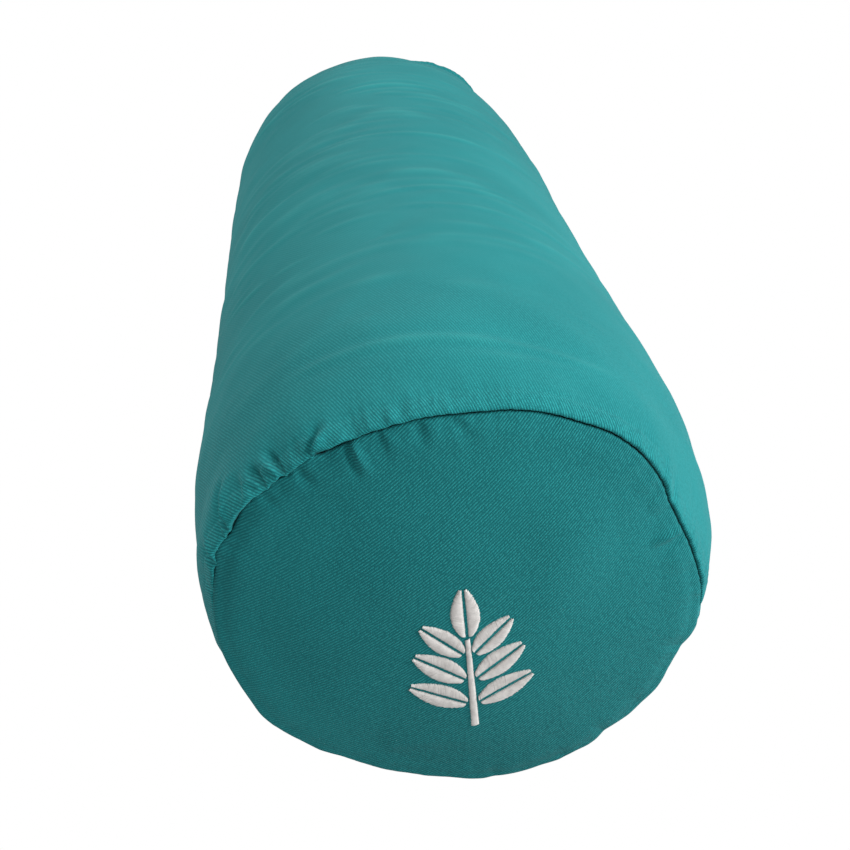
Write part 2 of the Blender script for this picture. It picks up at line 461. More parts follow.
# ------------------------------------------------------------------ cloth simulation of the stuffed cover
def simulate():
    """A coarse closed cover with eased seams is inflated by its filling; only the wrinkles it makes are kept."""
    n, y0, dy = 150, -SEAM_Y, SEAM_Y / 64
    rows = 129
    a = -math.pi + np.arange(n) / n * TAU
    deg = np.degrees(a)
    verts, rest = [], []
    ys = y0 + np.arange(rows) * dy
    ring = 16
    def put(r, y, rr, ry):
        x = r * np.cos(a)
        z = H + K * r * np.sin(a)
        verts.append(np.stack([x, np.full(n, y), settle(z)], 1))
        rest.append(np.stack([rr * np.cos(a), np.full(n, ry), H + K * rr * np.sin(a)], 1))
    length = 0.0
    path = [0.0]
    for k in range(1, rows):
        path.append(path[-1] + math.hypot(dy, float(BODY_R(ys[k]) - BODY_R(ys[k - 1]))))
    path = np.array(path) - path[-1] / 2
    for k in range(ring):                                   # front disc, centre to rim
        s = (k + 1) / (ring + 0.5)
        put(s * SEAM_R, -(SEAM_Y + float(dome_y(s))), s * SEAM_R * 1.035, -(SEAM_Y + float(dome_y(s)) * 1.15))
    for k in range(rows):
        r = float(BODY_R(ys[k]))
        d = min(k, rows - 1 - k) * dy
        grow = 1.012 + 0.040 * math.exp(-(d / 26.0) ** 2)
        put(r, ys[k], r * grow, path[k] * 1.018)
    for k in range(ring):                                   # rear disc, rim to centre
        s = (ring - k) / (ring + 0.5)
        put(s * SEAM_R, SEAM_Y + float(dome_y(s)), s * SEAM_R * 1.035, SEAM_Y + float(dome_y(s)) * 1.15)
    total = rows + 2 * ring
    v = np.vstack(verts)
    rest = np.vstack(rest)
    c0, c1 = len(v), len(v) + 1
    v = np.vstack([v, [[0, -(SEAM_Y + DOME), H], [0, SEAM_Y + DOME, H]]])
    rest = np.vstack([rest, [[0, -(SEAM_Y + DOME), H], [0, SEAM_Y + DOME, H]]])
    q = grid_quads(total, n, closed=True)
    tr = [(c0, (k + 1) % n, k) for k in range(n)] + [(c1, (total - 1) * n + k, (total - 1) * n + (k + 1) % n) for k in range(n)]
    rng = np.random.RandomState(41)
    jitter = rng.normal(0, 0.05, (len(v), 3))
    o = new_object("sim_cover", v + jitter, q, np.array(tr))
    o.shape_key_add(name="Basis")
    key = o.shape_key_add(name="eased")
    key.data.foreach_set("co", (rest * 0.001).astype(np.float32).ravel())
    key.value = 0.0
    pin = o.vertex_groups.new(name="pin")
    idx = []
    for k in (ring, ring + rows - 1):
        idx += list(range(k * n, (k + 1) * n))
    low = np.where(v[:total * n, 2] < 2.5)[0]
    zipv = []
    for k in range(rows):
        if -222 < ys[k] < 184:
            j = np.where(np.abs(wrap(deg + 42)) < 5.0)[0]
            zipv += [(ring + k) * n + int(m) for m in j]
    pin.add(sorted(set(idx) | set(int(x) for x in low) | set(zipv)), 1.0, "REPLACE")
    mod = o.modifiers.new("Cloth", "CLOTH")
    st = mod.settings
    st.quality = 6
    st.mass = 0.25
    st.tension_stiffness = 22
    st.compression_stiffness = 22
    st.shear_stiffness = 8
    st.bending_stiffness = 0.35
    st.tension_damping = 8
    st.compression_damping = 8
    st.air_damping = 3
    st.use_pressure = True
    st.uniform_pressure_force = 4.0
    st.vertex_group_mass = "pin"
    st.effector_weights.gravity = 0
    st.rest_shape_key = key
    mod.collision_settings.use_collision = False
    mod.point_cache.frame_start = 1
    mod.point_cache.frame_end = 20
    sc = bpy.context.scene
    for f in range(1, 21):
        sc.frame_set(f)
    dg = bpy.context.evaluated_depsgraph_get()
    ev = o.evaluated_get(dg)
    out = np.zeros(len(ev.data.vertices) * 3, np.float32)
    ev.data.vertices.foreach_get("co", out)
    out = out.reshape(-1, 3).astype(float) * 1000
    sc.frame_set(1)
    move = out - v
    size = np.linalg.norm(move, axis=1)
    print("cloth: mean move", round(float(size.mean()), 2), "mm, largest", round(float(size.max()), 2), "mm")
    move *= np.minimum(1.0, 6.0 / np.maximum(size, 1e-6))[:, None]
    g = move[:total * n].reshape(total, n, 3)
    bpy.data.objects.remove(o)
    radial = g[..., 0] * np.cos(a)[None, :] + g[..., 2] * np.sin(a)[None, :]

    def blur(f, sa, sb, closed=True):
        for axis, sg in ((1, sa), (0, sb)):
            m = int(3 * sg) + 1
            k = np.exp(-0.5 * (np.arange(-m, m + 1) / sg) ** 2)
            k /= k.sum()
            pad = np.concatenate([f[:, -m:], f, f[:, :m]], 1) if axis == 1 else np.concatenate([f[:1].repeat(m, 0), f, f[-1:].repeat(m, 0)], 0)
            acc = 0
            for i, w in enumerate(k):
                acc = acc + w * (pad[:, i:i + f.shape[1]] if axis == 1 else pad[i:i + f.shape[0]])
            f = acc
        return f
    body = radial[ring:ring + rows]
    body = blur(body, 0.7, 0.7) - blur(body, 7, 7)
    edge = np.minimum(np.arange(rows), rows - 1 - np.arange(rows)) * dy
    body *= sstep(edge, 1, 12)[:, None]
    print("cloth: body wrinkle rms", round(float(body.std()), 3), "max", round(float(np.abs(body).max()), 2))
    body = np.clip(body * (0.34 / max(0.05, float(body.std()))), -1.5, 1.5)
    SIM["body"] = {"v": body, "n": n, "y0": y0, "dy": dy}
    for name, part, sgn in (("front", g[:ring], -1), ("rear", g[ring + rows:][::-1], 1)):
        f = part[..., 1] * sgn
        f = blur(f, 0.8, 0.6) - blur(f, 9, 4)
        f = np.concatenate([np.full((1, n), float(f[0].mean())), f, np.zeros((1, n))], 0)
        f *= sstep(np.arange(len(f)), 0, 5)[:, None]
        print("cloth:", name, "wrinkle rms", round(float(f.std()), 3))
        SIM[name] = {"v": np.clip(f * (0.20 / max(0.04, float(f.std()))), -0.7, 0.7), "n": n}


# ------------------------------------------------------------------ shader helpers
class Nodes:
    def __init__(self, name):
        self.mat = bpy.data.materials.new(name)
        self.mat.use_nodes = True
        self.nt = self.mat.node_tree
        self.nt.nodes.clear()
        self.out = self.nt.nodes.new("ShaderNodeOutputMaterial")
        self.bsdf = self.nt.nodes.new("ShaderNodeBsdfPrincipled")
        self.nt.links.new(self.bsdf.outputs[0], self.out.inputs[0])

    def put(self, sock, val):
        if isinstance(val, bpy.types.NodeSocket):
            self.nt.links.new(val, sock)
        elif isinstance(val, (tuple, list)) and len(val) == 3 and sock.type == "RGBA":
            sock.default_value = (*val, 1)
        else:
            sock.default_value = val

    def m(self, op, a, b=None, c=None, clamp=False):
        n = self.nt.nodes.new("ShaderNodeMath")
        n.operation = op
        n.use_clamp = clamp
        for s, v in zip(n.inputs, (a, b, c)):
            if v is not None:
                self.put(s, v)
        return n.outputs[0]

    def uv(self):
        n = self.nt.nodes.new("ShaderNodeUVMap")
        n.uv_map = "cloth"
        sep = self.nt.nodes.new("ShaderNodeSeparateXYZ")
        self.nt.links.new(n.outputs[0], sep.inputs[0])
        return n.outputs[0], sep.outputs[0], sep.outputs[1]

    def obj(self):
        n = self.nt.nodes.new("ShaderNodeTexCoord")
        sep = self.nt.nodes.new("ShaderNodeSeparateXYZ")
        self.nt.links.new(n.outputs["Object"], sep.inputs[0])
        return n.outputs["Object"], sep.outputs[0], sep.outputs[1], sep.outputs[2]

    def noise(self, vec, scale, detail=3.0, rough=0.5, dist=0.0):
        n = self.nt.nodes.new("ShaderNodeTexNoise")
        n.inputs["Scale"].default_value = scale
        n.inputs["Detail"].default_value = detail
        n.inputs["Roughness"].default_value = rough
        n.inputs["Distortion"].default_value = dist
        self.put(n.inputs["Vector"], vec)
        return n.outputs[0]

    def mix(self, f, a, b, blend="MIX"):
        n = self.nt.nodes.new("ShaderNodeMix")
        n.data_type = "RGBA"
        n.blend_type = blend
        self.put(n.inputs[0], f)
        self.put(n.inputs[6], a)
        self.put(n.inputs[7], b)
        return n.outputs[2]

    def ramp(self, f, a, b, lo=0.0, hi=1.0):
        n = self.nt.nodes.new("ShaderNodeMapRange")
        n.interpolation_type = "SMOOTHSTEP"
        self.put(n.inputs[0], f)
        self.put(n.inputs[1], a)
        self.put(n.inputs[2], b)
        self.put(n.inputs[3], lo)
        self.put(n.inputs[4], hi)
        return n.outputs[0]

    def bump(self, height, dist, strength=1.0, normal=None):
        n = self.nt.nodes.new("ShaderNodeBump")
        n.inputs["Distance"].default_value = dist
        n.inputs["Strength"].default_value = strength
        self.put(n.inputs["Height"], height)
        if normal is not None:
            self.put(n.inputs["Normal"], normal)
        return n.outputs[0]

    def scale_vec(self, vec, s):
        n = self.nt.nodes.new("ShaderNodeVectorMath")
        n.operation = "MULTIPLY"
        self.put(n.inputs[0], vec)
        n.inputs[1].default_value = s
        return n.outputs[0]

    def finish(self, color, rough, normal=None, sheen=0.0, sheen_rough=0.4, sheen_tint=None, metallic=0.0, spec=0.5, coat=0.0):
        b = self.bsdf
        self.put(b.inputs["Base Color"], color)
        self.put(b.inputs["Roughness"], rough)
        b.inputs["Metallic"].default_value = metallic
        b.inputs["Specular IOR Level"].default_value = spec
        if sheen:
            b.inputs["Sheen Weight"].default_value = sheen
            b.inputs["Sheen Roughness"].default_value = sheen_rough
            if sheen_tint is not None:
                b.inputs["Sheen Tint"].default_value = (*sheen_tint, 1)
        if coat:
            b.inputs["Coat Weight"].default_value = coat
            b.inputs["Coat Roughness"].default_value = 0.2
        if normal is not None:
            self.put(b.inputs["Normal"], normal)
        return self.mat


TEAL_DARK = (0.005, 0.120, 0.132)
TEAL = (0.011, 0.205, 0.215)
TEAL_LIGHT = (0.0195, 0.290, 0.298)


def twill(name, wx, wy, pitch, tint=1.0, contrast=1.0, edge=False, fan=0.0):
    """Cotton twill from cloth coordinates in metres: wales, the yarn floats that make them, slubs and fuzz."""
    n = Nodes(name)
    vec, u, v = n.uv()
    warp = n.noise(vec, 55.0, 2.0)
    w = n.m("ADD", n.m("MULTIPLY", u, wx * 1000 / pitch), n.m("MULTIPLY", v, wy * 1000 / pitch))
    w = n.m("ADD", w, n.m("MULTIPLY", n.m("SUBTRACT", warp, 0.5), 0.9))
    if fan:    # the panel is cut a little off grain and pulled round, so its wales fan across it
        w = n.m("ADD", w, n.m("MULTIPLY", n.m("MULTIPLY", u, u), -1500.0 * fan / pitch))
        w = n.m("ADD", w, n.m("MULTIPLY", n.m("MULTIPLY", u, v), -1300.0 * fan / pitch))
    slub = n.noise(n.scale_vec(vec, (1.0, 1.0, 1.0)), 900.0, 2.0)
    ph = n.m("MULTIPLY", w, TAU)
    wale = n.m("ADD", n.m("MULTIPLY", n.m("COSINE", n.m("ADD", ph, n.m("MULTIPLY", n.m("SUBTRACT", slub, 0.5), 1.6))), 0.5), 0.5)
    ln = n.m("ADD", n.m("MULTIPLY", u, -wy * 1000 / (pitch * 0.62)), n.m("MULTIPLY", v, wx * 1000 / (pitch * 0.62)))
    floats = n.m("ADD", n.m("MULTIPLY", n.m("SINE", n.m("ADD", n.m("MULTIPLY", ln, TAU), n.m("MULTIPLY", ph, 1.0))), 0.5), 0.5)
    body = n.ramp(wale, 0.12, 0.80)
    comb = n.nt.nodes.new("ShaderNodeCombineXYZ")
    n.put(comb.inputs[0], n.m("MULTIPLY", w, 0.95))
    n.put(comb.inputs[1], n.m("MULTIPLY", ln, 0.50))
    dash = n.ramp(n.noise(comb.outputs[0], 1.0, 1.0, 0.6), 0.34, 0.66)
    mott = n.ramp(n.noise(vec, 330.0, 3.0, 0.6), 0.30, 0.70)
    body = n.m("MULTIPLY", body, n.m("ADD", 0.34, n.m("MULTIPLY", n.m("ADD", n.m("MULTIPLY", dash, 0.68), n.m("MULTIPLY", mott, 0.32)), 0.94)))
    height = n.m("ADD", n.m("MULTIPLY", body, 0.8), n.m("MULTIPLY", n.m("MULTIPLY", floats, body), 0.2))
    cloud = n.noise(vec, 9.0, 3.0, 0.55)
    patch = n.noise(vec, 42.0, 4.0, 0.6)
    fuzz = n.noise(vec, 2600.0, 2.0, 0.6)
    tone = n.ramp(height, 0.0, 1.0, 0.5 - 0.5 * contrast, 0.5 + 0.32 * contrast)
    if edge:   # the long panel is washed smoother along its middle
        calm = n.ramp(n.m("ABSOLUTE", v), 0.190, 0.280, 0.78, 0.0)
        tone = n.m("ADD", tone, n.m("MULTIPLY", calm, n.m("SUBTRACT", 0.42, tone)))
        height = n.m("MULTIPLY", height, n.m("SUBTRACT", 1.0, n.m("MULTIPLY", calm, 0.7)))
        near = n.ramp(n.m("ABSOLUTE", v), 0.2985, 0.3105)
        tone = n.m("ADD", tone, n.m("MULTIPLY", n.m("MULTIPLY", n.m("SUBTRACT", height, 0.42), 0.75), near))
    else:      # the end panels are crisp at the top and rubbed smoother low down
        crisp = n.m("ADD", n.ramp(v, -0.050, 0.045, 0.32, 1.0), n.m("MULTIPLY", n.m("SUBTRACT", cloud, 0.5), 0.5), clamp=True)
        tone = n.m("ADD", 0.44, n.m("MULTIPLY", crisp, n.m("SUBTRACT", tone, 0.44)))
        height = n.m("MULTIPLY", height, crisp)
        tone = n.m("MULTIPLY", tone, n.ramp(n.m("MULTIPLY", u, fan), -0.095, 0.020, 0.60, 1.0))   # dye a little deeper towards one edge
    col = n.mix(tone, tuple(c * tint for c in TEAL_DARK), tuple(c * tint for c in TEAL_LIGHT))
    col = n.mix(n.m("MULTIPLY", n.ramp(cloud, 0.35, 0.7), 0.20), col, tuple(c * tint * 1.12 for c in TEAL_LIGHT))
    col = n.mix(n.m("MULTIPLY", n.ramp(patch, 0.4, 0.75), 0.12), col, tuple(c * tint * 0.8 for c in TEAL))
    col = n.mix(n.m("MULTIPLY", n.ramp(fuzz, 0.55, 0.85), 0.07), col, (0.16, 0.46, 0.45))
    g = n.nt.nodes.new("ShaderNodeNewGeometry")
    if edge:
        at = n.nt.nodes.new("ShaderNodeAttribute")
        at.attribute_name = "crest"
        col = n.mix(n.m("MULTIPLY", at.outputs["Fac"], 0.20), col, (0.060, 0.42, 0.40))
    worn = n.ramp(g.outputs["Pointiness"], 0.515, 0.60)
    col = n.mix(n.m("MULTIPLY", worn, 0.12), col, (0.06, 0.38, 0.37))
    nb = n.bump(n.m("ADD", height, n.m("MULTIPLY", fuzz, 0.10)), 0.00016 * contrast)
    return n.finish(col, n.ramp(height, 0, 1, 0.92, 0.78), nb, sheen=0.05, sheen_rough=0.5, sheen_tint=(0.75, 0.9, 0.9), spec=0.12)


def woven(name, dark, light, scale=1400.0, rough=0.85, sheen=0.15, dist=0.00006):
    """Plain weave in object space, for tapes, cotton and ribbon."""
    n = Nodes(name)
    vec, x, y, z = n.obj()
    a = n.m("SINE", n.m("MULTIPLY", y, scale * TAU))
    b = n.m("SINE", n.m("MULTIPLY", n.m("ADD", x, z), scale * 0.8 * TAU))
    wv = n.m("ADD", n.m("MULTIPLY", n.m("MULTIPLY", a, b), 0.5), 0.5)
    cloud = n.noise(vec, 60.0, 4.0)
    col = n.mix(wv, dark, light)
    col = n.mix(n.m("MULTIPLY", n.ramp(cloud, 0.4, 0.8), 0.25), col, dark)
    return n.finish(col, rough, n.bump(wv, dist), sheen=sheen, spec=0.25)


def thread_mat(name, dark, light, rough=0.5, sheen=0.2):
    n = Nodes(name)
    vec, x, y, z = n.obj()
    ply = n.noise(n.scale_vec(vec, (1.0, 1.0, 1.0)), 5200.0, 2.0, 0.5)
    tone = n.noise(vec, 420.0, 3.0)
    col = n.mix(n.ramp(tone, 0.3, 0.75), dark, light)
    return n.finish(col, n.ramp(ply, 0.3, 0.7, rough - 0.1, rough + 0.15), n.bump(ply, 0.00005), sheen=sheen, spec=0.5)


def metal_mat(name, col, rough):
    n = Nodes(name)
    vec, x, y, z = n.obj()
    brushed = n.noise(n.scale_vec(vec, (1.0, 0.06, 1.0)), 5200.0, 3.0)
    spots = n.noise(vec, 600.0, 4.0)
    c = n.mix(n.ramp(spots, 0.45, 0.75), col, tuple(x * 0.72 for x in col))
    return n.finish(c, n.ramp(brushed, 0.3, 0.7, rough - 0.08, rough + 0.14), n.bump(brushed, 0.00002), metallic=1.0)


def plastic_mat(name, dark, light, rough=0.42):
    n = Nodes(name)
    vec, x, y, z = n.obj()
    grain = n.noise(vec, 2400.0, 3.0)
    tone = n.noise(vec, 90.0, 3.0)
    return n.finish(n.mix(n.ramp(tone, 0.35, 0.7), dark, light), n.ramp(grain, 0.3, 0.7, rough - 0.06, rough + 0.1), n.bump(grain, 0.00002))


def hull_mat(name):
    n = Nodes(name)
    vec, x, y, z = n.obj()
    vor = n.nt.nodes.new("ShaderNodeTexVoronoi")
    vor.inputs["Scale"].default_value = 260.0
    n.put(vor.inputs["Vector"], vec)
    col = n.mix(n.ramp(vor.outputs["Distance"], 0.1, 0.7), (0.20, 0.12, 0.06), (0.05, 0.028, 0.015))
    return n.finish(col, 0.7, n.bump(vor.outputs["Distance"], 0.0012))


def webbing_mat(name):
    """Ribbed webbing: chevrons from cloth coordinates, u along, v across."""
    n = Nodes(name)
    vec, u, v = n.uv()
    zig = n.m("PINGPONG", n.m("MULTIPLY", v, 1000.0), 1.55)
    rib = n.m("ADD", n.m("MULTIPLY", n.m("COSINE", n.m("MULTIPLY", n.m("MULTIPLY", v, 1000.0), TAU / 1.55)), 0.5), 0.5)
    yarn = n.m("ADD", n.m("MULTIPLY", n.m("SINE", n.m("MULTIPLY", n.m("ADD", n.m("MULTIPLY", u, 1000.0), zig), TAU / 1.25)), 0.5), 0.5)
    hgt = n.m("ADD", n.m("MULTIPLY", rib, 0.45), n.m("MULTIPLY", yarn, 0.55))
    tone = n.noise(vec, 60.0, 4.0)
    col = n.mix(hgt, (0.005, 0.090, 0.100), (0.018, 0.250, 0.258))
    col = n.mix(n.m("MULTIPLY", n.ramp(tone, 0.4, 0.75), 0.2), col, (0.025, 0.28, 0.285))
    return n.finish(col, 0.75, n.bump(hgt, 0.00030), sheen=0.06, sheen_tint=(0.6, 0.9, 0.9), spec=0.2)


# ------------------------------------------------------------------ cover: the long body panel
FOLD = [(6.0, -0.92), (2.6, -0.92), (1.0, -0.88), (0.32, -0.72), (0.02, -0.46), (0.06, -0.22), (0.34, -0.06), (0.85, 0.0), (1.5, 0.0), (2.3, 0.0), (3.3, 0.0)]
ROLL = [(12.5, -1.5), (7.0, -1.45), (3.6, -1.2), (1.6, -0.6), (0.55, -0.22), (-0.12, 0.0), (-0.52, 0.42), (-0.50, 0.98), (-0.10, 1.50), (0.55, 1.93), (1.35, 2.35), (2.3, 2.82), (3.3, 3.28), (4.4, 3.72), (5.4, 4.12), (6.4, 4.50)]
ROLL_T = [(12.5, -1.5), (7.0, -1.45), (3.6, -1.3), (2.2, -1.0), (1.5, -0.75), (1.15, -0.5), (1.1, -0.25), (1.25, 0.02), (1.6, 0.26), (2.1, 0.5), (2.7, 0.78), (3.4, 1.1), (4.2, 1.48), (5.0, 1.86), (5.8, 2.25), (6.6, 2.65)]
ROLL_G = [0.0, 0.0, 0.0, 0.25, 0.6, 0.85, 1.0, 1.0, 1.0, 0.98, 0.95, 0.91, 0.87, 0.82, 0.78, 0.74]


def build_body():
    inner = np.arange(4.4, CIRC - 4.4 + 0.001, (CIRC - 8.8) / 780)
    left = [(-e, d, 0) for e, d in FOLD]
    cols_s = np.r_[[e for e, d in FOLD], inner, [CIRC - e for e, d in FOLD[::-1]]]
    cols_d = np.r_[[d for e, d in FOLD], np.zeros(len(inner)), [d for e, d in FOLD[::-1]]]
    under = np.r_[[1, 1, 1, 0.6, 0.2], np.zeros(len(cols_s) - 10), [0.2, 0.6, 1, 1, 1]]
    y = [-SEAM_Y + 7.5]
    while y[-1] < SEAM_Y - 7.5:
        d = min(y[-1] + SEAM_Y, SEAM_Y - y[-1])
        y.append(y[-1] + (1.05 if d < 24 else 1.05 + (d - 24) * 0.04 if d < 52 else 2.15))
    y = np.array(y)
    y = -SEAM_Y + 7.5 + (y - y[0]) * (2 * SEAM_Y - 15) / (y[-1] - y[0])
    nf = len(ROLL)
    rows = 2 * nf + len(y)
    M = len(cols_s)
    opened = np.zeros(rows)
    P = np.zeros((rows, M, 3))
    UV = np.zeros((rows, M, 2))
    CR = np.zeros((rows, M))
    for i in range(rows):
        if i < nf:
            end, k, g = -1, i, ROLL_G[i]
        elif i >= nf + len(y):
            k = rows - 1 - i
            end, g = 1, ROLL_G[k]
        else:
            end, k, g = 0, None, 0
        yy = y[i - nf] if end == 0 else end * (SEAM_Y - ROLL[k][0])
        op = SLOT_T * float(sstep(yy, SLOT0 - 5, SLOT0 + 3) * (1 - sstep(yy, SLOT1 - 3, SLOT1 + 5))) + 0.05
        half = np.minimum(cols_s, CIRC - cols_s)
        shift = op * (1 - sstep(half, 7, 36))
        s = np.where(cols_s < CIRC / 2, cols_s + shift, cols_s - shift)
        deg = deg_of(s)
        full = np.full(M, yy)
        disp = body_disp(deg, np.where(s < CIRC / 2, s, s - CIRC), full)
        if end == 0:
            side = -1 if yy < 0 else 1
            d = SEAM_Y - abs(yy)
            base = BODY_R(full)
            zm = zip_mask(np.where(s < CIRC / 2, s, s - CIRC), full)
            base = base * (1 - zm) + CAD_R(full) * zm
            mixr = seam_r(deg, side) * (1 - sstep(d, 5, 16)) + seam_r_lo(deg, side) * sstep(d, 5, 16)
            r = base + (mixr - SEAM_R) * (1 - sstep(d, 8, 46)) * 0.93
            T = tuck(deg, side)
            r = r - T * (1.85 + 0.9 * sstep(d, 8, 14)) * (1 - sstep(d, 15, 36))
            ease = 0.74 * (1 - sstep(d, 6, 24)) * lip(deg, side)
            r = r + disp * (1 - 0.35 * T * (1 - sstep(d, 8, 40))) + 0.9 * ease
            py = full + side * (1.45 * ease + 0.62 * disp * (1 - sstep(d, 9, 26)))
        else:
            rs = seam_r(deg, end)
            L = lip(deg, end) * g
            T = tuck(deg, end)
            dy = ROLL[k][0] * (1 - T) + ROLL_T[k][0] * T
            dr = ROLL[k][1] * (1 - T) + ROLL_T[k][1] * T
            py = end * (SEAM_Y - (dy - 1.45 * L)) + end * 0.62 * disp * sstep(ROLL[k][1], 0.6, 3.2) * (k > 5) * (1 - T)
            keep = min(1.0, max(0.0, (ROLL[k][1] + 0.7) / 1.5))
            r = rs + dr + 0.9 * L + disp * keep * (1 - 0.35 * T)
        # closed length seam and hemmed zip opening: the fold at the panel's two edges
        r = r + cols_d
        # stitch line pressed in beside the opening
        hem = np.minimum(s, CIRC - s)
        if -229 < yy < 191:
            r = r - 0.22 * gauss(hem - 8.3, 0.8) * float(sstep(yy, -229, -222) * (1 - sstep(yy, 184, 191)))
        else:
            r = r - 0.55 * gauss(half, 1.6)
        z = H + K * r * np.sin(deg * D2R)
        P[i] = np.stack([r * np.cos(deg * D2R), py, settle(z)], 1)
        UV[i] = np.stack([s, full], 1)
        CR[i] = crest(deg, full) * float(sstep(SEAM_Y - abs(yy), 8, 20))
    # cloth length along the roll grows with the path, not with y
    for i in range(nf - 1, -1, -1):
        UV[i, :, 1] = UV[i + 1, :, 1] - np.linalg.norm(P[i + 1] - P[i], axis=1)
    for i in range(rows - nf, rows):
        UV[i, :, 1] = UV[i - 1, :, 1] + np.linalg.norm(P[i] - P[i - 1], axis=1)
    o = new_object("cover_body_cloth", P.reshape(-1, 3), grid_quads(rows, M))
    set_uv(o, UV.reshape(-1, 2) * 0.001)
    wear = o.data.attributes.new("crest", "FLOAT", "POINT")
    wear.data.foreach_set("value", CR.astype(np.float32).ravel())
    return o


# ------------------------------------------------------------------ cover: end panels
RIM_T = [(-2.35, -4.6), (-2.1, -3.5), (-1.8, -2.4), (-1.45, -1.45), (-1.0, -0.6), (-0.4, 0.05), (0.3, 0.3), (0.95, 0.1), (1.8, -0.6), (5.0, -1.9), (12.0, -2.0)]
RIM_S = [(-2.35, -4.6), (-2.05, -3.6), (-1.78, -2.7), (-1.52, -1.95), (-1.26, -1.3), (-1.0, -0.8), (-0.72, -0.42), (-0.25, -0.22), (1.2, -0.75), (5.0, -1.9), (12.0, -2.0)]
RIM_P = [(-2.35, -4.6), (-2.12, -3.6), (-1.9, -2.7), (-1.7, -1.95), (-1.5, -1.25), (-1.3, -0.6), (-1.05, 0.05), (-0.7, 0.55), (0.4, 0.6), (5.0, -1.9), (12.0, -2.0)]
RIM = [(-2.35, -4.6), (-2.05, -3.6), (-1.72, -2.7), (-1.36, -1.95), (-0.95, -1.35), (-0.45, -0.95), (0.15, -0.78), (0.9, -0.85), (2.2, -1.25), (5.0, -1.9), (12.0, -2.0)]


def build_disc(end):
    N = 864
    deg = -180 + np.arange(N) * 360.0 / N
    rs = seam_r(deg, end)
    rs_b = 0.35 * rs + 0.65 * seam_r_lo(deg, end)
    rings = np.r_[np.linspace(0.012, 0.60, 34), np.linspace(0.60, 1.0, 46)[1:]]
    rows, uvs = [], []
    for f in rings:
        rr = f * (rs_b - 4.9)
        x, z = rr * np.cos(deg * D2R), K * rr * np.sin(deg * D2R)
        yy = disc_y(x, z, end)
        rows.append(np.stack([x, yy, H + z], 1))
    L = lip(deg, end)
    T = tuck(deg, end)
    G = groove(deg, end)
    for k in range(len(RIM)):
        gp, gn = np.maximum(G, 0), np.maximum(-G, 0)
        dy = (RIM[k][0] * gp + RIM_S[k][0] * (1 - gp - gn) + RIM_P[k][0] * gn) * (1 - T) + RIM_T[k][0] * T
        dr = (RIM[k][1] * gp + RIM_S[k][1] * (1 - gp - gn) + RIM_P[k][1] * gn) * (1 - T) + RIM_T[k][1] * T
        rr = rs + dr * (1 + 0.12 * L * (k > 2))
        t = sstep(k, -1, 5)
        rr = rr * t + (rs_b + dr) * (1 - t)
        x, z = rr * np.cos(deg * D2R), K * rr * np.sin(deg * D2R)
        plain = end * (SEAM_Y - dy + (0.55 * L if k > 2 else 0.3 * L) * -1)
        p = disc_disp(deg, np.minimum(rr, rs_b - 0.3), rs_b, end) * (1 - sstep(k, 2, 8))
        y2 = plain + end * p
        y1 = disc_y(x, z, end)
        t2 = sstep(k, 0, 4)
        rows.append(np.stack([x, y1 * (1 - t2) + y2 * t2, H + z], 1))
    P = np.array(rows)
    n = len(P)
    v = np.vstack([P.reshape(-1, 3), [[0, float(disc_y(np.array([0.01]), np.array([0.0]), end)[0]), H]]])
    flip = end > 0
    q = grid_quads(n, N, closed=True, flip=flip)
    tr = np.array([(n * N, (k + 1) % N, k) for k in range(N)])
    if flip:
        tr = tr[:, ::-1]
    o = new_object("cover_front_cloth" if end < 0 else "cover_rear_cloth", v, q, tr)
    uv = v[:, [0, 2]].copy()
    # keep the weave flat on the cloth: stretch it by the dome's slope near the rim
    for k in range(n - len(RIM), n):
        extra = np.linalg.norm(P[k] - P[k - 1], axis=1) if k else 0
        d = np.stack([np.cos(deg * D2R), K * np.sin(deg * D2R)], 1)
        uv[k * N:(k + 1) * N] = uv[(k - 1) * N:k * N] + d * extra[:, None]
    set_uv(o, uv * 0.001)
    return o


simulate()

body = build_body()
front = build_disc(-1)
rear = build_disc(1)
twill_body = twill("twill_body", 0.92, -0.39, 1.16, contrast=0.58, edge=True)
twill_disc = twill("twill_disc", -0.574, 0.819, 1.14, tint=0.95, contrast=1.15, fan=1.0)
twill_rear = twill("twill_rear", 0.574, 0.819, 1.14, tint=0.95, contrast=1.15, fan=-1.0)
for o, mat, node in ((body, twill_body, "cover_body"), (front, twill_disc, "cover_front_end"), (rear, twill_rear, "cover_rear_end")):
    o.data.materials.append(mat)
    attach(o, "bolster")
    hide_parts(node)


# ------------------------------------------------------------------ embroidery on the front panel
def emb_point(u, v, h):
    """Emblem plane (u right, v up, mm) to the disc surface, h off the cloth."""
    c, s = math.cos(EMB_ROT), math.sin(EMB_ROT)
    u, v = np.asarray(u, float), np.asarray(v, float)
    x, z = EMB_X + c * u - s * v, EMB_Z + s * u + c * v
    y = disc_y(x, z, -1)
    return np.stack([x, y - h, H + z], -1)


